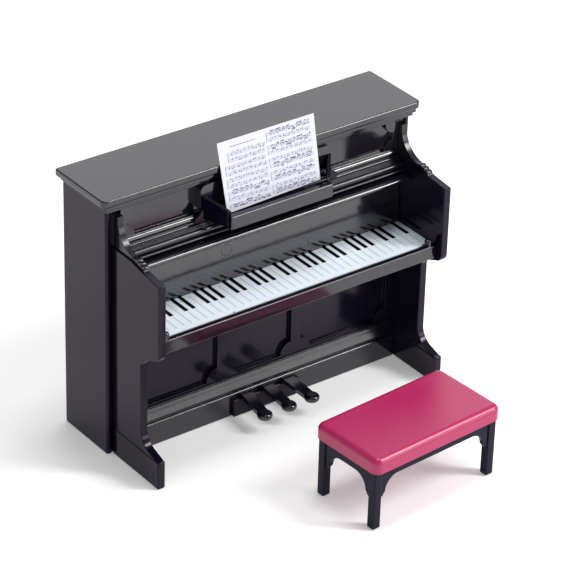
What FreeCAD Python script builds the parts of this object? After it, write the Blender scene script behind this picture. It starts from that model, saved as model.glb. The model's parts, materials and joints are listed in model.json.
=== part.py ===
import FreeCAD, Part
import math
import os

# Miniature upright piano with a music sheet and a stool, in millimetres.
# Origin: on the floor, on the middle plane of the piano, 14 mm in front of its back face.
# +X is the pianist's right, +Y points to the back of the piano, +Z is up.

V = FreeCAD.Vector

# Case
CASE_BACK = 14.0
CASE_HALF = 59.4
SIDE_THICK = 2.0
SIDE_FRONT = -10.7
CASE_TOP = 88.8
BACK_THICK = 1.6
BACK_TOP = 88.4
FLOOR_THICK = 2.0
FRAME_FRONT = -11.3
CHEEK_BACK = -10.0
FRAME_BACK = -8.6
INNER_HALF = CASE_HALF - SIDE_THICK

# Cheeks: the profiled end plates in front of the case
CHEEK_IN = 54.5
CHEEK_OUT = 57.2
SCROLL_OUT = 56.6
ARM_TOP = 76.0
ARM_FRONT = -36.2
ARM_BOTTOM = 41.1
LEG_FRONT = -26.4
FOOT_TOP = 9.9
FOOT_FRONT = -36.4

# Width left between the cheeks
SPAN_HALF = 54.4

# Lid
LID_HALF = 62.0
LID_FRONT = -13.4
LID_UNDER = 91.5
LID_TOP = 94.1
LID_AXIS_Y = 13.0
LID_AXIS_Z = 90.2
LUG_RADIUS = 1.0
LUG_X = 50.0
LUG_WIDTH = 2.0
PIN_RADIUS = 0.5
PIN_FIT = 0.05

# Key shelf
KEYBED_UNDER = 47.3
KEYBED_TOP = 50.6
KEY_TOP = 51.8
KEY_BACK = -14.6
KEY_FRONT = -31.1
SLIP_BACK = -31.9
SLIP_FRONT = -33.7
SLIP_TOP = 52.1
NAMEBOARD_FRONT = -10.2
PEG_X = 52.0
PEG_Y = -32.3
PEG_RADIUS = 1.25
PEG_TOP = 54.5

# Fallboard: a leaning leaf, round at the foot, with a folded lip and a bead along its free edge
FALL_HALF = 54.15
FALL_AXIS_Y = -13.45
FALL_AXIS_Z = 53.15
FALL_HALF_THICK = 1.0
FALL_LENGTH = 17.2
FALL_LEAN = 6.0
LIP_REACH = 7.4
LIP_THICK = 1.5
BEAD_RADIUS = 0.85
FALL_PIN_RADIUS = 0.6
FALL_PIN_LENGTH = 1.5

# Music desk and sheet
DESK_BACK_HALF = 25.5
DESK_FRONT_HALF = 20.0
DESK_PLATE_FRONT = -13.0
DESK_LIP_FRONT = -22.0
DESK_LIP_BACK = -20.1
DESK_LIP_UNDER = 75.3
DESK_LIP_TOP = 80.0
DESK_FLOOR_TOP = 78.8
SHEET_WIDTH = 37.6
SHEET_FOOT_WIDTH = 36.6
SHEET_HEIGHT = 23.1
SHEET_FOOT_RISE = 1.2
SHEET_THICK = 0.2
SHEET_LEAN = 14.0
SHEET_FOOT_Y = -17.6
SHEET_FOOT_Z = 78.94
SHEET_X = -0.2

# Pedals
BLOCK_HALF = 13.3
BLOCK_FRONT = -16.0
PEDAL_TIP_Y = -27.8
KNOB_RADIUS = 2.6
KNOB_UNDER = 5.0
KNOB_TOP = 7.4
PEDAL_TOP = 8.1
BLOCK_TOP = 6.6

# Stool
STOOL_X = 9.8
STOOL_Y = -77.2
STOOL_TURN = 4.0
SEAT_HALF_X = 26.5
SEAT_HALF_Y = 14.5
SEAT_UNDER = 21.0
SEAT_TOP = 26.3
STOOL_HALF_X = 25.75
STOOL_HALF_Y = 13.25
STOOL_LEG = 3.0
APRON_THICK = 1.6
APRON_EDGE = 17.4
BRACKET_LOW = 10.8

os.makedirs("parts", exist_ok=True)


def save(name, shape):
    shape.exportStep("parts/" + name + ".step")


def box(x0, x1, y0, y1, z0, z1):
    return Part.makeBox(x1 - x0, y1 - y0, z1 - z0, V(x0, y0, z0))


def wire(points):
    """Closed outline. A bare point is joined by a line; a pair (middle, end) by an arc."""
    edges = []
    here = points[0]
    for item in points[1:] + [points[0]]:
        if isinstance(item, tuple):
            middle, end = item
            edges.append(Part.Arc(here, middle, end).toShape())
            here = end
        else:
            edges.append(Part.makeLine(here, item))
            here = item
    return Part.Wire(edges)


def at_x(x, outline):
    """Turn (y, z) pairs into points in the plane at x. An arc is given as ((y, z), (y, z))."""
    points = []
    for item in outline:
        if isinstance(item[0], tuple):
            points.append((V(x, *item[0]), V(x, *item[1])))
        else:
            points.append(V(x, *item))
    return points


def prism_x(outline, x0, x1):
    """Solid with a (y, z) outline, running from x0 to x1."""
    return Part.Face(wire(at_x(x0, outline))).extrude(V(x1 - x0, 0, 0))


def at_y(y, outline):
    """Turn (x, z) pairs into points in the plane at y."""
    points = []
    for item in outline:
        if isinstance(item[0], tuple):
            points.append((V(item[0][0], y, item[0][1]), V(item[1][0], y, item[1][1])))
        else:
            points.append(V(item[0], y, item[1]))
    return points


def prism_y(outline, y0, y1):
    """Solid with an (x, z) outline, running from y0 to y1."""
    return Part.Face(wire(at_y(y0, outline))).extrude(V(0, y1 - y0, 0))


def rod_x(radius, x0, x1, y, z):
    return Part.makeCylinder(radius, x1 - x0, V(x0, y, z), V(1, 0, 0))


def mirrored(shape):
    return shape.mirror(V(0, 0, 0), V(1, 0, 0))


def rounded(shape, radius, chosen):
    """Round every edge for which chosen(centre, edge) is true."""
    edges = [edge for edge in shape.Edges if chosen(edge.BoundBox.Center, edge)]
    return shape.makeFillet(radius, edges)


def runs_along(edge, axis):
    """True for a straight edge parallel to the named axis."""
    size = edge.BoundBox
    spans = {"x": size.XLength, "y": size.YLength, "z": size.ZLength}
    others = [spans[name] for name in spans if name != axis]
    return spans[axis] > 0.5 and max(others) < 0.01


def save_pair(name, right_shape):
    save(name + "_right", right_shape)
    save(name + "_left", mirrored(right_shape))


# Case sides: flat plates with softened outer edges
side = box(INNER_HALF, CASE_HALF, SIDE_FRONT, CASE_BACK, 0, CASE_TOP)
side = rounded(side, 0.9, lambda c, e: c.x > CASE_HALF - 0.01 and runs_along(e, "z"))
save_pair("side_panel", side)

# Back panel with two hinge ears that stand above its top edge
EAR_HOLE = PIN_RADIUS + PIN_FIT
back = box(-INNER_HALF, INNER_HALF, CASE_BACK - BACK_THICK, CASE_BACK, FLOOR_THICK, BACK_TOP)
for ear_x in (-LUG_X, LUG_X):
    ear_left = ear_x - LUG_WIDTH / 2
    ear_right = ear_x + LUG_WIDTH / 2
    stalk_front = LID_AXIS_Y - BACK_THICK + LUG_RADIUS
    stalk = box(ear_left, ear_right, stalk_front, LID_AXIS_Y + LUG_RADIUS, BACK_TOP, LID_AXIS_Z)
    ear = rod_x(LUG_RADIUS, ear_left, ear_right, LID_AXIS_Y, LID_AXIS_Z)
    bore = rod_x(EAR_HOLE, ear_left - 1, ear_right + 1, LID_AXIS_Y, LID_AXIS_Z)
    back = back.fuse(stalk).fuse(ear).cut(bore)
save("back_panel", back.removeSplitter())

# Floor of the case
save("bottom_board", box(-INNER_HALF, INNER_HALF, CHEEK_BACK, CASE_BACK - BACK_THICK, 0, FLOOR_THICK))


def bitten_panel(x0, x1, z0, z1, bite_x, bite_z, front, depth):
    """Pocket with a bite out of each corner, hollow towards the middle of the panel."""
    lean = math.sqrt(0.5)
    corners = [(x0, z0, 1, 1), (x1, z0, -1, 1), (x1, z1, -1, -1), (x0, z1, 1, -1)]
    outline = []
    for index, (cx, cz, sx, sz) in enumerate(corners):
        on_upright = (cx, cz + sz * bite_z)
        on_level = (cx + sx * bite_x, cz)
        middle = (cx + sx * bite_x * lean, cz + sz * bite_z * lean)
        if index % 2 == 0:
            outline.append(on_upright)
            outline.append((middle, on_level))
        else:
            outline.append(on_level)
            outline.append((middle, on_upright))
    return prism_y(outline, front - 1, front + depth)


# Upper frame with one recessed panel and a rounded strip along its lower rail
PANEL_DEPTH = 1.4
UPPER_PANEL_HALF = 52.3
UPPER_PANEL_LOW = 78.3
UPPER_PANEL_HIGH = 88.3
UPPER_TOP = 88.7
upper = box(-SPAN_HALF, SPAN_HALF, FRAME_FRONT, CHEEK_BACK, ARM_TOP, UPPER_TOP)
upper = upper.fuse(box(-INNER_HALF, INNER_HALF, CHEEK_BACK, FRAME_BACK, ARM_TOP, UPPER_TOP))
pocket = bitten_panel(
    -UPPER_PANEL_HALF, UPPER_PANEL_HALF, UPPER_PANEL_LOW, UPPER_PANEL_HIGH, 3.2, 3.8, FRAME_FRONT, PANEL_DEPTH
)
upper = upper.cut(pocket)
RAIL_STRIP_FRONT = -12.2
rail_strip = [
    (CHEEK_BACK - 1, 76.7),
    (FRAME_FRONT, 76.7),
    (RAIL_STRIP_FRONT, 76.9),
    ((-11.9, 77.62), (FRAME_FRONT, 78.05)),
    (CHEEK_BACK - 1, 78.05),
]
upper = upper.fuse(prism_x(rail_strip, -SPAN_HALF, SPAN_HALF))
save("upper_front_panel", upper.removeSplitter())

# Ledge under the upper frame: a hollow, two small steps and two rounded noses
LEDGE_UNDER = 71.4
ledge_outline = [
    (FRAME_BACK, ARM_TOP),
    (-11.7, ARM_TOP),
    ((-11.9, 75.3), (-12.6, 75.0)),
    (-12.6, 74.5),
    (-13.2, 74.5),
    (-13.2, 74.0),
    (-13.6, 74.0),
    ((-14.45, 73.45), (-14.5, 72.45)),
    (-13.9, 72.4),
    (-13.9, 72.2),
    (-15.1, 72.2),
    ((-15.7, 71.8), (-15.2, LEDGE_UNDER)),
    (FRAME_BACK, LEDGE_UNDER),
]
save("ledge_moulding", prism_x(ledge_outline, -SPAN_HALF, SPAN_HALF))

# Plain board behind the fallboard and the key shelf
nameboard = box(-SPAN_HALF, SPAN_HALF, NAMEBOARD_FRONT, CHEEK_BACK, KEYBED_UNDER, LEDGE_UNDER)
nameboard = nameboard.fuse(box(-INNER_HALF, INNER_HALF, CHEEK_BACK, FRAME_BACK, KEYBED_UNDER, LEDGE_UNDER))
save("nameboard", nameboard.removeSplitter())

# Lower frame with two wide panels and a narrow middle panel
LOWER_LOW = 13.0
LOWER_PANEL_LOW = 13.7
LOWER_PANEL_HIGH = 44.5
LOWER_FRONT = -11.2
lower = box(-SPAN_HALF, SPAN_HALF, LOWER_FRONT, CHEEK_BACK, LOWER_LOW, KEYBED_UNDER)
lower = lower.fuse(box(-INNER_HALF, INNER_HALF, CHEEK_BACK, FRAME_BACK, LOWER_LOW, KEYBED_UNDER))
for left_edge, right_edge in ((-52.3, -16.9), (-12.9, 12.9), (16.9, 52.3)):
    pocket = bitten_panel(
        left_edge, right_edge, LOWER_PANEL_LOW, LOWER_PANEL_HIGH, 4.1, 4.5, LOWER_FRONT, PANEL_DEPTH
    )
    lower = lower.cut(pocket)
save("lower_front_panel", lower.removeSplitter())

# Stepped base moulding between the lower frame and the toe board
TOE_TOP = 8.4
TOE_FRONT = -14.5
base_outline = [
    (FRAME_BACK, LOWER_LOW),
    (-11.7, LOWER_LOW),
    (-11.7, 12.5),
    (-12.0, 12.4),
    (-12.6, 11.4),
    (-12.75, 11.4),
    (-13.9, 9.45),
    (-13.9, TOE_TOP),
    (FRAME_BACK, TOE_TOP),
]
save("base_moulding", prism_x(base_outline, -SPAN_HALF, SPAN_HALF))

# Toe board, with its top front edge rounded
toe = box(-SPAN_HALF, SPAN_HALF, TOE_FRONT, CHEEK_BACK, 0, TOE_TOP)
toe = rounded(toe, 0.5, lambda c, e: c.y < TOE_FRONT + 0.01 and c.z > TOE_TOP - 0.01)
save("toe_board", toe)

# Pedal block: a flat comb block on the toe board
block = box(-BLOCK_HALF, BLOCK_HALF, BLOCK_FRONT, TOE_FRONT, 0.4, BLOCK_TOP)
block = rounded(block, 0.4, lambda c, e: c.y < BLOCK_FRONT + 0.01 and (runs_along(e, "z") or c.z > BLOCK_TOP - 0.01))
save("pedal_block", block)


def pedal(root_x, tip_x):
    """Level root on the block, then a stem that slopes down to a flat round knob."""
    knob = Part.makeCylinder(KNOB_RADIUS, KNOB_TOP - KNOB_UNDER, V(tip_x, PEDAL_TIP_Y, KNOB_UNDER))
    knob = knob.makeFillet(1.1, knob.Edges)
    side_outline = [
        (TOE_FRONT, BLOCK_TOP),
        (TOE_FRONT, PEDAL_TOP),
        (-17.4, PEDAL_TOP),
        (PEDAL_TIP_Y, KNOB_TOP - 0.6),
        (PEDAL_TIP_Y, KNOB_UNDER + 0.4),
        (BLOCK_FRONT, BLOCK_TOP),
    ]
    plan = [
        V(root_x - 2.1, TOE_FRONT, 0),
        V(root_x + 2.1, TOE_FRONT, 0),
        V(tip_x + 1.8, PEDAL_TIP_Y, 0),
        V(tip_x - 1.8, PEDAL_TIP_Y, 0),
    ]
    stem = prism_x(side_outline, -BLOCK_HALF, BLOCK_HALF)
    stem = stem.common(Part.Face(wire(plan)).extrude(V(0, 0, 100)))
    return knob.fuse(stem)


save("pedal_left", pedal(-8.0, -9.5))
save("pedal_middle", pedal(0.3, 0.3))
save("pedal_right", pedal(8.4, 9.6))

# Scroll plate: it sweeps from the lid down to the arm and ends in three small beads
scroll_outline = [
    (CHEEK_BACK, ARM_TOP),
    (CHEEK_BACK, 87.3),
    (-13.1, 87.3),
    (-13.1, 84.9),
    ((-15.4, 80.1), (-22.3, 76.8)),
    ((-23.2, 77.2), (-24.0, 76.4)),
    ((-24.9, 76.8), (-25.6, 75.9)),
    ((-26.5, 76.2), (-27.2, 75.3)),
    (-27.5, 74.76),
    (-21.0, ARM_TOP),
]
save_pair("scroll_plate", prism_x(scroll_outline, CHEEK_IN, SCROLL_OUT))

# Cheek plate: the arm beside the keys, and the leg that flares out over the foot.
# It holds the blind bore for the fallboard pin.
cheek_outline = [
    (CHEEK_BACK, ARM_TOP),
    (-21.0, ARM_TOP),
    (-28.6, 74.55),
    (ARM_FRONT, 73.75),
    (ARM_FRONT, 49.2),
    ((-35.6, 47.3), (-33.7, 46.2)),
    (-30.7, 44.9),
    ((-28.0, 43.7), (LEG_FRONT, ARM_BOTTOM)),
    (LEG_FRONT, 16.5),
    ((-28.0, 13.0), (-31.0, 11.2)),
    ((-33.3, 10.5), (-35.4, FOOT_TOP)),
    (CHEEK_BACK, FOOT_TOP),
]
cheek = prism_x(cheek_outline, CHEEK_IN, CHEEK_OUT)
cheek = rounded(cheek, 0.4, lambda c, e: runs_along(e, "x") and c.y < ARM_FRONT + 0.1 and c.z > 70)
fall_bore = rod_x(
    FALL_PIN_RADIUS + PIN_FIT, CHEEK_IN - 1, CHEEK_IN + FALL_PIN_LENGTH, FALL_AXIS_Y, FALL_AXIS_Z
)
save_pair("cheek_plate", cheek.cut(fall_bore))

# Foot block with a rounded nose
foot = box(CHEEK_IN, CHEEK_OUT + 0.15, FOOT_FRONT, SIDE_FRONT - 0.05, 0, FOOT_TOP)
foot = rounded(foot, 0.5, lambda c, e: c.y < FOOT_FRONT + 0.01 and (runs_along(e, "z") or c.z > 5))
save_pair("foot", foot)

# Cornice under the lid: two steps, mitred at the front corners
CORNICE_UNDER = CASE_TOP
CORNICE_STEP = 90.1
CORNICE_TOP = 91.4
CORNICE_DEPTH = 2.6


def cornice_block(grow, z0, z1):
    """One step of the cornice: a plan frame open at the back."""
    outer = box(-CASE_HALF - grow, CASE_HALF + grow, FRAME_FRONT - grow, LID_AXIS_Y - 0.4, z0, z1)
    hollow_front = FRAME_FRONT + CORNICE_DEPTH
    return outer.cut(box(-INNER_HALF, INNER_HALF, hollow_front, CASE_BACK + 5, z0 - 1, z1 + 1))


cornice = cornice_block(0.5, CORNICE_UNDER, CORNICE_STEP).fuse(cornice_block(1.2, CORNICE_STEP, CORNICE_TOP))
cornice = cornice.removeSplitter()
MITRE_FRONT = FRAME_FRONT - 1.2
MITRE_SIDE = CASE_HALF + 1.2
MITRE_RUN = CORNICE_DEPTH + 1.2
front_plan = [
    V(-MITRE_SIDE, MITRE_FRONT, 0),
    V(MITRE_SIDE, MITRE_FRONT, 0),
    V(MITRE_SIDE - MITRE_RUN, MITRE_FRONT + MITRE_RUN, 0),
    V(-MITRE_SIDE + MITRE_RUN, MITRE_FRONT + MITRE_RUN, 0),
]
front_zone = Part.Face(wire(front_plan)).extrude(V(0, 0, 100))
rest = cornice.cut(front_zone)
save("cornice_front", cornice.common(front_zone))
save("cornice_right", rest.common(box(0, 100, -50, 50, 0, 100)))
save("cornice_left", rest.common(box(-100, 0, -50, 50, 0, 100)))

# Top lid plate, hinged at its back edge
lid = box(-LID_HALF, LID_HALF, LID_FRONT, CASE_BACK, LID_UNDER, LID_TOP)
lid = rounded(lid, 2.0, lambda c, e: runs_along(e, "z") and c.y < 0)
lid = rounded(lid, 0.5, lambda c, e: c.z > LID_TOP - 0.01)
save("top_lid", lid)

# Lid lugs: one beside each ear, with the hinge pin on its outer side
LUG_GAP = 0.2
lugs = []
for sign in (-1, 1):
    inner_end = sign * (LUG_X - LUG_WIDTH / 2 - LUG_GAP)
    far_end = inner_end - sign * 2.5
    x_low = min(inner_end, far_end)
    x_high = max(inner_end, far_end)
    web = box(x_low, x_high, LID_AXIS_Y - LUG_RADIUS, LID_AXIS_Y + LUG_RADIUS, LID_AXIS_Z, LID_UNDER)
    knuckle = rod_x(LUG_RADIUS, x_low, x_high, LID_AXIS_Y, LID_AXIS_Z)
    pin_end = sign * (LUG_X + LUG_WIDTH / 2)
    pin = rod_x(PIN_RADIUS, min(pin_end, inner_end), max(pin_end, inner_end), LID_AXIS_Y, LID_AXIS_Z)
    lugs.append(knuckle.fuse(web).fuse(pin).removeSplitter())
save("lid_lugs", Part.makeCompound(lugs))

# Key bed, key slip and the flat key strip
key_bed = box(-SPAN_HALF, SPAN_HALF, SLIP_BACK, NAMEBOARD_FRONT, KEYBED_UNDER, KEYBED_TOP)
save("key_bed", key_bed)
slip = box(-SPAN_HALF, SPAN_HALF, SLIP_FRONT, SLIP_BACK, KEYBED_UNDER, SLIP_TOP)
slip = rounded(slip, 0.4, lambda c, e: c.y < SLIP_FRONT + 0.01 and runs_along(e, "x"))
for peg_x in (-PEG_X, PEG_X):
    slip = slip.cut(Part.makeCylinder(PEG_RADIUS, 5, V(peg_x, PEG_Y, KEYBED_TOP)))
save("key_slip", slip)
strip = box(-SPAN_HALF, SPAN_HALF, KEY_FRONT, KEY_BACK, KEYBED_TOP, KEY_TOP)
for peg_x in (-PEG_X, PEG_X):
    strip = strip.cut(Part.makeCylinder(PEG_RADIUS + 0.8, 5, V(peg_x, PEG_Y, KEYBED_TOP - 1)))
save("key_strip", strip)

# Stop pegs with domed heads, standing in the front corners of the key shelf
pegs = []
for peg_x in (-PEG_X, PEG_X):
    peg = Part.makeCylinder(PEG_RADIUS, PEG_TOP - KEYBED_TOP, V(peg_x, PEG_Y, KEYBED_TOP))
    pegs.append(rounded(peg, 0.9, lambda c, e: c.z > PEG_TOP - 0.01))
save("stop_pegs", Part.makeCompound(pegs))

# Fallboard, drawn upright over its axis and then leaned back
leaf_front = -FALL_HALF_THICK
lip_under = FALL_LENGTH - LIP_THICK
fall_outline = [
    (leaf_front, 0.0),
    ((0.0, -FALL_HALF_THICK), (FALL_HALF_THICK, 0.0)),
    (FALL_HALF_THICK, FALL_LENGTH),
    (-LIP_REACH + BEAD_RADIUS, FALL_LENGTH),
    ((-LIP_REACH, FALL_LENGTH - BEAD_RADIUS), (-LIP_REACH + BEAD_RADIUS, FALL_LENGTH - 2 * BEAD_RADIUS)),
    (-LIP_REACH + BEAD_RADIUS + 0.4, lip_under),
    (leaf_front - 1.0, lip_under),
    ((leaf_front - 0.3, lip_under - 0.3), (leaf_front, lip_under - 1.0)),
]
fall = prism_x(fall_outline, -FALL_HALF, FALL_HALF)
fall.rotate(V(0, 0, 0), V(1, 0, 0), -FALL_LEAN)
fall.translate(V(0, FALL_AXIS_Y, FALL_AXIS_Z))
save("fallboard", fall)

fall_pins = []
for sign in (-1, 1):
    pin_start = sign * FALL_HALF
    pin_end = sign * (CHEEK_IN + FALL_PIN_LENGTH - 0.2)
    x_low = min(pin_start, pin_end)
    x_high = max(pin_start, pin_end)
    fall_pins.append(rod_x(FALL_PIN_RADIUS, x_low, x_high, FALL_AXIS_Y, FALL_AXIS_Z))
save("fallboard_pins", Part.makeCompound(fall_pins))

# Music desk: back plate, two converging side brackets with feet, a narrow floor and a front lip
DESK_PLATE_TOP = 88.6
DESK_PLATE_UNDER = 80.3
DESK_PLATE_CORNER = 2.0
PANEL_FACE = FRAME_FRONT + PANEL_DEPTH
plate = box(-DESK_BACK_HALF, DESK_BACK_HALF, DESK_PLATE_FRONT, PANEL_FACE, DESK_PLATE_UNDER, DESK_PLATE_TOP)
plate = rounded(plate, DESK_PLATE_CORNER, lambda c, e: runs_along(e, "y") and c.z > DESK_PLATE_TOP - 0.01)
plate = plate.cut(box(-60, 60, -12, PANEL_FACE, UPPER_PANEL_HIGH, DESK_PLATE_TOP + 1))
save("desk_back_plate", plate)

BRACKET_THICK = 1.3
FOOT_BACK = RAIL_STRIP_FRONT - 0.1
bracket_side = [
    (DESK_PLATE_FRONT, 77.6),
    (DESK_PLATE_FRONT, 85.6),
    (DESK_LIP_BACK, 81.2),
    (DESK_LIP_BACK, 75.6),
]
bracket_slab = prism_x(bracket_side, 0, 60)
bracket_plan = [
    V(DESK_BACK_HALF - BRACKET_THICK, DESK_PLATE_FRONT, 0),
    V(DESK_BACK_HALF, DESK_PLATE_FRONT, 0),
    V(DESK_FRONT_HALF, DESK_LIP_BACK, 0),
    V(DESK_FRONT_HALF - BRACKET_THICK, DESK_LIP_BACK, 0),
]
bracket = bracket_slab.common(Part.Face(wire(bracket_plan)).extrude(V(0, 0, 100)))
bracket_foot = [
    (DESK_BACK_HALF - BRACKET_THICK, DESK_PLATE_UNDER),
    (DESK_BACK_HALF - BRACKET_THICK, 76.2),
    (DESK_BACK_HALF + 2.4, 76.2),
    (DESK_BACK_HALF + 2.4, 78.0),
    ((DESK_BACK_HALF + 0.8, 78.9), (DESK_BACK_HALF, DESK_PLATE_UNDER)),
]
heel = prism_y(bracket_foot, DESK_PLATE_FRONT - 0.6, FOOT_BACK)
save_pair("desk_bracket", bracket.fuse(heel).removeSplitter())

lip = box(-DESK_FRONT_HALF, DESK_FRONT_HALF, DESK_LIP_FRONT, DESK_LIP_BACK, DESK_LIP_UNDER, DESK_LIP_TOP)
lip = rounded(lip, 0.4, lambda c, e: c.y < DESK_LIP_FRONT + 0.01)
tray_half = DESK_FRONT_HALF - BRACKET_THICK
tray = box(-tray_half, tray_half, DESK_LIP_BACK, -16.6, 77.4, DESK_FLOOR_TOP)
save("desk_lip", lip.fuse(tray).removeSplitter())

# Music sheet, drawn upright on its lower edge and then leaned back
# It was cut a little narrower at the foot, and its lower edge is out of square.
sheet_corners = [
    (-SHEET_FOOT_WIDTH / 2, 0),
    (SHEET_FOOT_WIDTH / 2, SHEET_FOOT_RISE),
    (SHEET_WIDTH / 2, SHEET_HEIGHT),
    (-SHEET_WIDTH / 2, SHEET_HEIGHT),
]
sheet = prism_y(sheet_corners, -SHEET_THICK / 2, SHEET_THICK / 2)
sheet.rotate(V(0, 0, 0), V(1, 0, 0), -SHEET_LEAN)
sheet.translate(V(SHEET_X, SHEET_FOOT_Y, SHEET_FOOT_Z))
save("music_sheet", sheet)


def save_stool(name, shape):
    """Turn a stool member and set it in its place in front of the piano."""
    shape.rotate(V(0, 0, 0), V(0, 0, 1), STOOL_TURN)
    shape.translate(V(STOOL_X, STOOL_Y, 0))
    save(name, shape)


def seat_block():
    seat = box(-SEAT_HALF_X, SEAT_HALF_X, -SEAT_HALF_Y, SEAT_HALF_Y, SEAT_UNDER, SEAT_TOP)
    seat = rounded(seat, 2.6, lambda c, e: runs_along(e, "z"))
    return rounded(seat, 2.1, lambda c, e: c.z > SEAT_TOP - 0.01)


save_stool("stool_seat", seat_block())


def apron_outline(half_span):
    """(x, z) outline of an apron: a flat arch with a small notched bracket at each leg."""
    left = -half_span
    right = half_span
    return [
        (left, BRACKET_LOW),
        (left, SEAT_UNDER),
        (right, SEAT_UNDER),
        (right, BRACKET_LOW),
        ((right - 0.9, BRACKET_LOW + 0.3), (right - 1.4, BRACKET_LOW + 1.2)),
        (right - 1.9, BRACKET_LOW + 1.6),
        ((right - 3.3, APRON_EDGE - 1.6), (right - 6.5, APRON_EDGE)),
        (left + 6.5, APRON_EDGE),
        ((left + 3.3, APRON_EDGE - 1.6), (left + 1.9, BRACKET_LOW + 1.6)),
        (left + 1.4, BRACKET_LOW + 1.2),
        (left + 0.9, BRACKET_LOW + 0.3),
    ]


long_span = STOOL_HALF_X - STOOL_LEG
short_span = STOOL_HALF_Y - STOOL_LEG
APRON_INSET = 0.5
apron_face = STOOL_HALF_Y - APRON_INSET
save_stool("stool_apron_front", prism_y(apron_outline(long_span), -apron_face, -apron_face + APRON_THICK))
save_stool("stool_apron_back", prism_y(apron_outline(long_span), apron_face - APRON_THICK, apron_face))
for name, sign in (("left", -1), ("right", 1)):
    end_apron = prism_y(apron_outline(short_span), -APRON_THICK / 2, APRON_THICK / 2)
    end_apron.rotate(V(0, 0, 0), V(0, 0, 1), 90)
    end_apron.translate(V(sign * (STOOL_HALF_X - APRON_INSET - APRON_THICK / 2), 0, 0))
    save_stool("stool_apron_" + name, end_apron)

for depth_name, y_sign in (("front", -1), ("back", 1)):
    for side_name, x_sign in (("left", -1), ("right", 1)):
        x_far = x_sign * STOOL_HALF_X
        x_near = x_far - x_sign * STOOL_LEG
        y_far = y_sign * STOOL_HALF_Y
        y_near = y_far - y_sign * STOOL_LEG
        x_low, x_high = sorted((x_far, x_near))
        y_low, y_high = sorted((y_far, y_near))
        stool_leg = box(x_low, x_high, y_low, y_high, 0, SEAT_UNDER)
        stool_leg = rounded(stool_leg, 0.4, lambda c, e: c.z < 0.01)
        save_stool("stool_leg_" + depth_name + "_" + side_name, stool_leg)
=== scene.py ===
import json
import math
import random

import bmesh
import bpy
from mathutils import Matrix, Vector

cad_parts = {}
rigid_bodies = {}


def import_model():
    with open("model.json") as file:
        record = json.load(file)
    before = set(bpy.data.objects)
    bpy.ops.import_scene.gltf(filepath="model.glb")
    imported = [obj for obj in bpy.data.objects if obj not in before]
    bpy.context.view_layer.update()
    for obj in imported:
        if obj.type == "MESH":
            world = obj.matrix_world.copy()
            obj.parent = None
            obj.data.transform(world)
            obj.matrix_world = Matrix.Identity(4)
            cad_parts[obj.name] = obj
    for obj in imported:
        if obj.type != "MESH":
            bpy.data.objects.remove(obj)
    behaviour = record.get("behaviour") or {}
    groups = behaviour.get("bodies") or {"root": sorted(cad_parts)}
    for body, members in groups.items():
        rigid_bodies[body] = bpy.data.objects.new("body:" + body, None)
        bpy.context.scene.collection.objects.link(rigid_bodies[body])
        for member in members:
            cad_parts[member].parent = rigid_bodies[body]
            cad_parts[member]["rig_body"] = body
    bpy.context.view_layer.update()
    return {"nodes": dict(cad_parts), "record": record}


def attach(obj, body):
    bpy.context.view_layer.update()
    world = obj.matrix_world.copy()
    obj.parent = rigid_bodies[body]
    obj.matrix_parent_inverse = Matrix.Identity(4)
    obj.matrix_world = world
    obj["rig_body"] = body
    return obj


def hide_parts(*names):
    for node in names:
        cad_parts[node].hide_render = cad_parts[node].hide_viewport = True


# Miniature upright piano with its sheet of music and its stool.
# Shapes are given in millimetres in the CAD frame and turned into metres with MM.

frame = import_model()
MM = 0.001


# ---------------------------------------------------------------- materials

def new_material(name, colour, roughness, specular=0.5):
    material = bpy.data.materials.new(name)
    material.use_nodes = True
    shader = material.node_tree.nodes["Principled BSDF"]
    shader.inputs["Base Color"].default_value = (*colour, 1.0)
    shader.inputs["Roughness"].default_value = roughness
    shader.inputs["Specular IOR Level"].default_value = specular
    return material


class Graph:
    """Short names for building a material's node tree."""

    def __init__(self, material):
        self.tree = material.node_tree
        self.shader = self.tree.nodes["Principled BSDF"]

    def node(self, kind, **settings):
        made = self.tree.nodes.new(kind)
        for key, value in settings.items():
            setattr(made, key, value)
        return made

    def link(self, source, target):
        self.tree.links.new(source, target)

    def multiply_add(self, source, factor, added):
        made = self.node("ShaderNodeMath", operation="MULTIPLY_ADD")
        self.link(source, made.inputs[0])
        made.inputs[1].default_value = factor
        made.inputs[2].default_value = added
        return made.outputs[0]

    def place(self):
        """Object coordinates in millimetres."""
        coords = self.node("ShaderNodeTexCoord")
        scaled = self.node("ShaderNodeVectorMath", operation="SCALE")
        self.link(coords.outputs["Object"], scaled.inputs[0])
        scaled.inputs["Scale"].default_value = 1.0 / MM
        return scaled.outputs[0]

    def noise(self, vector, scale, detail):
        made = self.node("ShaderNodeTexNoise")
        self.link(vector, made.inputs["Vector"])
        made.inputs["Scale"].default_value = scale
        made.inputs["Detail"].default_value = detail
        return made.outputs["Fac"]


POLISH_SCALE = 0.12
POLISH_SPREAD = 0.10
WAVE_SCALE = 0.22


def moulded_plastic(name, colour, roughness, waviness=0.02, specular=0.5, tint=(1.0, 1.0, 1.0)):
    """Glossy moulded plastic: slightly wavy, with a faint uneven polish."""
    material = new_material(name, colour, roughness, specular)
    graph = Graph(material)
    graph.shader.inputs["Specular Tint"].default_value = (*tint, 1.0)
    vector = graph.place()
    polish = graph.noise(vector, POLISH_SCALE, 2.0)
    uneven = graph.multiply_add(polish, POLISH_SPREAD, roughness - POLISH_SPREAD / 2)
    graph.link(uneven, graph.shader.inputs["Roughness"])
    wave = graph.noise(vector, WAVE_SCALE, 1.0)
    bump = graph.node("ShaderNodeBump")
    bump.inputs["Strength"].default_value = waviness
    bump.inputs["Distance"].default_value = MM
    graph.link(wave, bump.inputs["Height"])
    graph.link(bump.outputs[0], graph.shader.inputs["Normal"])
    return material


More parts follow.
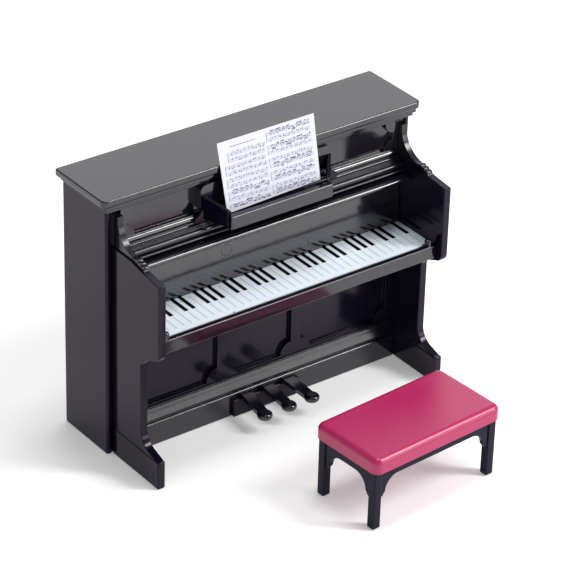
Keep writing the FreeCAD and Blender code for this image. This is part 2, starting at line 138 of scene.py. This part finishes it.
COOL = (1.0, 0.86, 1.0)
COLD = (0.9, 0.93, 1.05)
SHINY_BLACK = (0.007, 0.006, 0.012)
BLACK = moulded_plastic("black_gloss", (0.004, 0.003, 0.011), 0.13, specular=0.26, tint=COOL)
POLISHED = moulded_plastic("black_polished", SHINY_BLACK, 0.11, specular=0.8)
# Painted reflection: a copy of the black plastic that reflects more strongly, so the fallboard's
# reflection of the floor in front comes out brighter
LIT_FALLBOARD_BLACK = moulded_plastic("black_fallboard_lit", SHINY_BLACK, 0.10, specular=1.0)
SATIN = moulded_plastic("black_satin", SHINY_BLACK, 0.20, specular=0.45)
# Painted shade: a copy of the black plastic that reflects less, so the sides, cheeks and feet come out
# darker, as if they mirrored a shadowed floor
SHADED_SIDE_BLACK = moulded_plastic("black_side_shaded", (0.005, 0.0035, 0.012), 0.13, specular=0.22, tint=COOL)
STOOL_BLACK = moulded_plastic("stool_black", (0.008, 0.008, 0.020), 0.24, specular=0.12, tint=COLD)
SEAT = moulded_plastic("seat_colour", (0.44, 0.015, 0.105), 0.25, waviness=0.01)
PAPER = new_material("sheet_paper", (0.72, 0.73, 0.83), 0.85, specular=0.2)
KEYS = new_material("key_white", (0.80, 0.88, 0.95), 0.30)

MATERIAL_OF_SLOT = {
    "black_gloss": BLACK,
    "stool_black": STOOL_BLACK,
    "seat_colour": SEAT,
    "sheet_paper": PAPER,
    "key_white": KEYS,
}

# Nodes whose finish differs from the plain one of their slot; the fallboard's and the sides' finishes
# are painted light, a brighter-reflecting copy and a duller, shaded copy of the black plastic
FINISHES = (
    (
        POLISHED,
        (
            "upper_front_panel",
            "desk_back_plate",
            "desk_lip",
            "key_slip",
            "toe_board",
            "top_lid",
            "cornice_front",
            "stop_pegs",
            "pedal_left",
            "pedal_middle",
            "pedal_right",
        ),
    ),
    # painted light: the fallboard's brighter-reflecting copy
    (LIT_FALLBOARD_BLACK, ("fallboard",)),
    (SATIN, ("ledge_moulding", "base_moulding", "scroll_plate_left", "scroll_plate_right")),
    (
        # painted shade: the duller-reflecting copy for the side faces
        SHADED_SIDE_BLACK,
        (
            "side_panel_left",
            "side_panel_right",
            "cheek_plate_left",
            "cheek_plate_right",
            "foot_left",
            "foot_right",
        ),
    ),
)
SLOT_OF_NODE = {entry["node"]: entry["material_slot"] for entry in frame["record"]["subparts"]}


def material_of_node(node):
    for material, nodes in FINISHES:
        if node in nodes:
            return material
    return MATERIAL_OF_SLOT[SLOT_OF_NODE[node]]


# ---------------------------------------------------------------- CAD nodes with softened edges

# Width of the rounding along each node's sharp edges, in millimetres
EDGE_WIDTHS = {
    "side_panel_left": 0.5,
    "side_panel_right": 0.5,
    "upper_front_panel": 0.1,
    "ledge_moulding": 0.15,
    "nameboard": 0.15,
    "lower_front_panel": 0.1,
    "base_moulding": 0.15,
    "toe_board": 0.7,
    "pedal_block": 0.2,
    "pedal_left": 0.25,
    "pedal_middle": 0.25,
    "pedal_right": 0.25,
    "scroll_plate_left": 0.15,
    "scroll_plate_right": 0.15,
    "cheek_plate_left": 0.5,
    "cheek_plate_right": 0.5,
    "foot_left": 0.45,
    "foot_right": 0.45,
    "cornice_front": 0.2,
    "cornice_left": 0.2,
    "cornice_right": 0.2,
    "top_lid": 0.65,
    "key_bed": 0.2,
    "key_slip": 0.35,
    "fallboard": 0.2,
    "desk_back_plate": 0.25,
    "desk_bracket_left": 0.2,
    "desk_bracket_right": 0.2,
    "desk_lip": 0.25,
    "stool_apron_front": 0.2,
    "stool_apron_back": 0.2,
    "stool_apron_left": 0.2,
    "stool_apron_right": 0.2,
    "stool_leg_front_left": 0.35,
    "stool_leg_front_right": 0.35,
    "stool_leg_back_left": 0.35,
    "stool_leg_back_right": 0.35,
}
EDGE_SEGMENTS = 3
SAME_POINT = 1e-6
FLAT_ANGLE = math.radians(1.0)
SHARP_ANGLE = math.radians(28.0)
CREASE_ANGLE = math.radians(50.0)


def softened(node, width):
    """A skin that stands for a CAD node, with every sharp edge rounded to the given width."""
    shape = bmesh.new()
    shape.from_mesh(frame["nodes"][node].data)
    bmesh.ops.remove_doubles(shape, verts=shape.verts, dist=SAME_POINT)
    bmesh.ops.dissolve_limit(
        shape,
        angle_limit=FLAT_ANGLE,
        verts=shape.verts,
        edges=shape.edges,
        use_dissolve_boundaries=False,
    )
    closed = [edge for edge in shape.edges if len(edge.link_faces) == 2]
    sharp = [edge for edge in closed if edge.calc_face_angle() > SHARP_ANGLE]
    bmesh.ops.bevel(
        shape,
        geom=sharp,
        offset=width * MM,
        segments=EDGE_SEGMENTS,
        profile=0.5,
        affect="EDGES",
        clamp_overlap=True,
    )
    mesh = bpy.data.meshes.new(node + "_skin")
    shape.to_mesh(mesh)
    shape.free()
    for face in mesh.polygons:
        face.use_smooth = True
    mesh.set_sharp_from_angle(angle=CREASE_ANGLE)
    mesh.materials.clear()
    mesh.materials.append(material_of_node(node))
    piece = bpy.data.objects.new(node + "_skin", mesh)
    bpy.context.scene.collection.objects.link(piece)
    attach(piece, frame["nodes"][node]["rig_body"])
    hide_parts(node)
    piece.modifiers.new("even_faces", "WEIGHTED_NORMAL").keep_sharp = True


for node, width in EDGE_WIDTHS.items():
    softened(node, width)


# ---------------------------------------------------------------- printing and small marks

# How far printing stands off the face that it is on
PRINT_LIFT = 0.02


def riding_mesh(name, shape, body, materials, smooth=False):
    """Make an object from a bmesh in metres that moves with a body and replaces nothing."""
    mesh = bpy.data.meshes.new(name)
    shape.to_mesh(mesh)
    shape.free()
    for material in materials:
        mesh.materials.append(material)
    for face in mesh.polygons:
        face.use_smooth = smooth
    piece = bpy.data.objects.new(name, mesh)
    bpy.context.scene.collection.objects.link(piece)
    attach(piece, body)


def add_quad(shape, corners, material_index):
    face = shape.faces.new([shape.verts.new(corner) for corner in corners])
    face.material_index = material_index


# Keys: a flat strip with soft grey lines between the naturals and black sharps.
# The printing runs on under the fallboard's round foot.
KEY_TOP = 51.8
KEY_BACK = -14.7
STRIP_END = -13.6
KEY_LINE_END = -28.8
SHARP_END = -21.9
OCTAVE = 20.0
NATURALS = 7
FIRST_C = -59.5
OCTAVES = 6
KEY_LIMIT = 54.2
LINE_LIMIT = KEY_LIMIT - 1.0
SHARP_HALF = 0.72
LINE_HALF = 0.13
SHADE_HALF = 0.38
LINE_TO_SHARP = 0.6
SHADE_TO_SHARP = 0.3
STRIP_LIFT = 0.008
SHADE_LIFT = 0.014
# Left edges of the naturals that have a sharp over them, counted from C
EDGES_WITH_SHARP = (1, 2, 4, 5, 6)
# Nick in the front edge of the strip
NICK_X = (-25.3, -24.6)
NICK_Y = (-31.05, -30.65)
LINE_INK, SHARP_INK, SHADE_INK, WHITE = range(4)
KEY_INKS = [
    new_material("key_line_ink", (0.50, 0.58, 0.67), 0.35),
    new_material("key_sharp_ink", (0.001, 0.001, 0.002), 0.5, specular=0.03),
    new_material("key_shade_ink", (0.68, 0.77, 0.87), 0.32),
    KEYS,
]


def key_quad(shape, x_low, x_high, y_low, y_high, ink, lift=PRINT_LIFT):
    z = (KEY_TOP + lift) * MM
    corners = [(x_low, y_low), (x_high, y_low), (x_high, y_high), (x_low, y_high)]
    add_quad(shape, [(x * MM, y * MM, z) for x, y in corners], ink)


def key_line(shape, edge, y_line, y_shade):
    """The thin line between two naturals, on a wider pale shade."""
    key_quad(shape, edge - LINE_HALF, edge + LINE_HALF, KEY_LINE_END, y_line, LINE_INK)
    key_quad(shape, edge - SHADE_HALF, edge + SHADE_HALF, KEY_LINE_END, y_shade, SHADE_INK, SHADE_LIFT)


key_print = bmesh.new()
for octave in range(OCTAVES):
    for step in range(NATURALS):
        edge = FIRST_C + (octave + step / NATURALS) * OCTAVE
        if abs(edge) > LINE_LIMIT:
            continue
        if step in EDGES_WITH_SHARP:
            key_quad(key_print, edge - SHARP_HALF, edge + SHARP_HALF, SHARP_END, STRIP_END, SHARP_INK)
            key_line(key_print, edge, SHARP_END - LINE_TO_SHARP, SHARP_END - SHADE_TO_SHARP)
        else:
            key_line(key_print, edge, KEY_BACK, KEY_BACK)
key_quad(key_print, *NICK_X, *NICK_Y, SHARP_INK)
key_quad(key_print, -KEY_LIMIT, KEY_LIMIT, KEY_BACK, STRIP_END, WHITE, STRIP_LIFT)
riding_mesh("key_print", key_print, "case", KEY_INKS)

# Sheet: two columns of made-up staves and notes, and a plain rule where a title would be.
# On the sheet, u runs across from its middle and v up from its foot.
SHEET_LEAN = math.radians(14.0)
SHEET_FOOT = Vector((-0.2, -17.6, 78.94))
SHEET_HALF_THICK = 0.1
RIGHTWARD = Vector((1, 0, 0))
SHEET_UP = Vector((0, math.sin(SHEET_LEAN), math.cos(SHEET_LEAN)))
SHEET_OUT = Vector((0, -math.cos(SHEET_LEAN), math.sin(SHEET_LEAN)))
STAFF_GAP = 0.27
STAFF_LINES = 5
STAFF_LINE_HALF = 0.028
STAFF_DROP = 1.95
LOWEST_STAFF = 1.9
LOWEST_PRINT = 1.4
BAR_DROP = 3.05
BAR_LEFT = 0.35
BAR_RIGHT = 0.22
TITLE_U = (-14.2, -4.3)
TITLE_V = (20.75, 20.9)
NOTE_LIFT = 0.004
NOTE_LEFT = 0.17
NOTE_RIGHT = 0.15
NOTE_HALF_HIGH = 0.14
STEM_LEFT = 0.09
STEM_RIGHT = 0.13
STEM_LENGTH = 0.9
BEAM_HALF = 0.12
BEAM_HEIGHTS = (0.25, 0.35, -1.35)
NOTE_PLACES = 8
FIRST_NOTE = 1.2
LAST_NOTE = 0.4
BUSY_STEP = 0.42
BUSY_GROUPS = (3, 4, 4, 6)
BUSY_GAP = 0.3
QUIET_STEP = 0.62
QUIET_GROUPS = (1, 2, 2)
QUIET_GAPS = (0.5, 0.9)
NOTE_INK, STAFF_INK = range(2)
SHEET_INKS = [
    new_material("print_ink", (0.025, 0.025, 0.04), 0.6, specular=0.2),
    new_material("staff_ink", (0.30, 0.31, 0.42), 0.7, specular=0.2),
]
dice = random.Random(7)


def sheet_point(u, v, lift):
    face = SHEET_HALF_THICK + PRINT_LIFT + lift
    return (SHEET_FOOT + RIGHTWARD * u + SHEET_UP * v + SHEET_OUT * face) * MM


def sheet_quad(shape, u_low, u_high, v_low, v_high, lift=0.0, ink=NOTE_INK):
    corners = [(u_low, v_low), (u_high, v_low), (u_high, v_high), (u_low, v_high)]
    add_quad(shape, [sheet_point(u, v, lift) for u, v in corners], ink)


def write_note(shape, u, v, stem_end):
    sheet_quad(shape, u - NOTE_LEFT, u + NOTE_RIGHT, v - NOTE_HALF_HIGH, v + NOTE_HALF_HIGH, NOTE_LIFT)
    sheet_quad(shape, u + STEM_LEFT, u + STEM_RIGHT, min(v, stem_end), max(v, stem_end), NOTE_LIFT)


def write_staff(shape, u_start, u_end, v_top, busy):
    """Five lines and a row of notes; a busy staff has close notes tied by beams."""
    for line in range(STAFF_LINES):
        v = v_top - line * STAFF_GAP
        sheet_quad(shape, u_start, u_end, v - STAFF_LINE_HALF, v + STAFF_LINE_HALF, 0.0, STAFF_INK)
    u = u_start + FIRST_NOTE
    step = BUSY_STEP if busy else QUIET_STEP
    while u < u_end - LAST_NOTE:
        group = dice.choice(BUSY_GROUPS if busy else QUIET_GROUPS)
        count = min(group, int((u_end - u) / step))
        if count < 1:
            break
        beam_v = max(v_top + dice.choice(BEAM_HEIGHTS), LOWEST_PRINT)
        for index in range(count):
            head_v = v_top - dice.randint(0, NOTE_PLACES) * STAFF_GAP / 2
            write_note(shape, u + index * step, head_v, beam_v if busy else head_v + STEM_LENGTH)
        if busy and count > 1:
            beam_end = u + (count - 1) * step + STEM_RIGHT
            sheet_quad(shape, u + STEM_LEFT, beam_end, beam_v - BEAM_HALF, beam_v + BEAM_HALF, NOTE_LIFT)
        u += count * step + (BUSY_GAP if busy else dice.choice(QUIET_GAPS))


def write_column(shape, u_start, u_end, v_first, pitch, first_indent, busy_rows):
    """Staves in pairs, each pair with a bar down its left end; the first pair may be indented."""
    for row, busy in enumerate(busy_rows):
        v_top = v_first - row // 2 * pitch - row % 2 * STAFF_DROP
        if v_top < LOWEST_STAFF:
            continue
        row_start = u_start + (first_indent if row < 2 else 0.0)
        write_staff(shape, row_start, u_end, v_top, busy)
        if row % 2 == 0:
            bar_low = max(v_top - BAR_DROP, LOWEST_PRINT)
            sheet_quad(shape, row_start - BAR_LEFT, row_start - BAR_RIGHT, bar_low, v_top)


BUSY_LEFT = (False, False, False, False, False, False, True, False, True, False)
BUSY_RIGHT = (True, False, True, False, False, True, False, True, False, True)
sheet_print = bmesh.new()
sheet_quad(sheet_print, *TITLE_U, *TITLE_V)
write_column(sheet_print, -16.6, -0.9, 19.0, 4.15, 1.5, BUSY_LEFT)
write_column(sheet_print, 0.1, 17.0, 21.6, 4.3, 0.0, BUSY_RIGHT)
riding_mesh("sheet_print", sheet_print, "sheet", SHEET_INKS)

# Fallboard: two thin round ridges left in its face by the mould
FALL_LEAN = math.radians(6.0)
FALL_UP = Vector((0, math.sin(FALL_LEAN), math.cos(FALL_LEAN)))
RIDGE_HALF = 0.06
RIDGE_STEPS = 48
RIDGE_SIDES = 8


def mould_ring(name, centre, radius, turn_from, turn_to):
    """An arc of a ridge on the fallboard, from one turn to another in degrees."""
    shape = bmesh.new()
    outward = RIGHTWARD.cross(FALL_UP)
    rings = []
    for step in range(RIDGE_STEPS + 1):
        turn = math.radians(turn_from + (turn_to - turn_from) * step / RIDGE_STEPS)
        radial = RIGHTWARD * math.cos(turn) + FALL_UP * math.sin(turn)
        ring = []
        for side in range(RIDGE_SIDES):
            roll = 2 * math.pi * side / RIDGE_SIDES
            offset = radial * math.cos(roll) + outward * math.sin(roll)
            ring.append(shape.verts.new((centre + radial * radius + offset * RIDGE_HALF) * MM))
        rings.append(ring)
    for ring, after in zip(rings, rings[1:]):
        for side in range(RIDGE_SIDES):
            other = (side + 1) % RIDGE_SIDES
            shape.faces.new((ring[side], ring[other], after[other], after[side]))
    for end in (rings[0][::-1], rings[-1]):
        shape.faces.new(end)
    riding_mesh(name, shape, "key_cover", [BLACK], smooth=True)


mould_ring("mould_ring_left", Vector((-15.56, -13.42, 63.0)), 1.96, 150, 480)
mould_ring("mould_ring_right", Vector((13.6, -14.28, 55.4)), 3.1, -10, 80)

for node, carried in frame["nodes"].items():
    if not carried.hide_render:
        carried.data.materials.clear()
        carried.data.materials.append(material_of_node(node))


# ---------------------------------------------------------------- stage, light and camera

FLOOR_HALF = 4.0
FLOOR_DROP = 0.0001
FLOOR_GLOW = 0.24
floor_mesh = bpy.data.meshes.new("floor")
floor_mesh.from_pydata(
    [
        (-FLOOR_HALF, -FLOOR_HALF, 0),
        (FLOOR_HALF, -FLOOR_HALF, 0),
        (FLOOR_HALF, FLOOR_HALF, 0),
        (-FLOOR_HALF, FLOOR_HALF, 0),
    ],
    [],
    [(0, 1, 2, 3)],
)
floor_white = new_material("floor_white", (0.93, 0.93, 0.93), 0.9, specular=0.0)
floor_shader = floor_white.node_tree.nodes["Principled BSDF"]
floor_shader.inputs["Emission Color"].default_value = (1.0, 1.0, 1.0, 1.0)
floor_shader.inputs["Emission Strength"].default_value = FLOOR_GLOW
floor_mesh.materials.append(floor_white)
floor = bpy.data.objects.new("floor", floor_mesh)
bpy.context.scene.collection.objects.link(floor)
floor.location = (0, 0, -FLOOR_DROP)

world = bpy.data.worlds.new("studio")
bpy.context.scene.world = world
world.use_nodes = True
background = world.node_tree.nodes["Background"]
background.inputs["Color"].default_value = (1.0, 0.97, 1.0, 1.0)
background.inputs["Strength"].default_value = 0.42


def area_light(name, place, aim, size, power):
    data = bpy.data.lights.new(name, "AREA")
    data.shape = "RECTANGLE"
    data.size = size[0]
    data.size_y = size[1]
    data.energy = power
    lamp = bpy.data.objects.new(name, data)
    bpy.context.scene.collection.objects.link(lamp)
    lamp.location = place
    lamp.rotation_mode = "QUATERNION"
    lamp.rotation_quaternion = (Vector(aim) - Vector(place)).to_track_quat("-Z", "Y")


area_light("overhead", (0.10, -0.02, 0.95), (0.0, 0.0, 0.0), (0.30, 0.30), 3.0)
area_light("front_right", (0.60, -0.58, 0.80), (0.0, -0.03, 0.04), (0.20, 0.55), 7.0)
area_light("low_fill", (0.66, -0.95, 0.30), (0.0, -0.03, 0.05), (0.5, 0.4), 2.6)
area_light("behind", (0.62, 0.85, 0.66), (0.0, 0.0, 0.09), (0.9, 0.8), 2.4)

# The camera looks down from the front left with a long lens, tilted by a small roll
AZIMUTH = math.radians(-37.44)
ELEVATION = math.radians(30.42)
ROLL = math.radians(1.704)
LENS = 184.20875
SENSOR = 36.0
DISTANCE = 0.9543
TARGET = Vector((0.0, -0.006, 0.050))
SHIFT_RIGHT = 0.011765
SHIFT_DOWN = 0.008374
NEAREST = 0.05
FARTHEST = 20.0
back = Vector(
    (
        math.sin(AZIMUTH) * math.cos(ELEVATION),
        -math.cos(AZIMUTH) * math.cos(ELEVATION),
        math.sin(ELEVATION),
    )
)
level = Vector((math.cos(AZIMUTH), math.sin(AZIMUTH), 0.0))
upright = back.cross(level)
right = math.cos(ROLL) * level + math.sin(ROLL) * upright
up = -math.sin(ROLL) * level + math.cos(ROLL) * upright
camera_data = bpy.data.cameras.new("camera")
camera_data.sensor_width = SENSOR
camera_data.lens = LENS
camera_data.clip_start = NEAREST
camera_data.clip_end = FARTHEST
camera = bpy.data.objects.new("camera", camera_data)
bpy.context.scene.collection.objects.link(camera)
pose = Matrix((right, up, back)).transposed().to_4x4()
pose.translation = TARGET + back * DISTANCE + right * SHIFT_RIGHT - up * SHIFT_DOWN
camera.matrix_world = pose
bpy.context.scene.camera = camera
bpy.context.scene.view_settings.view_transform = "Standard"
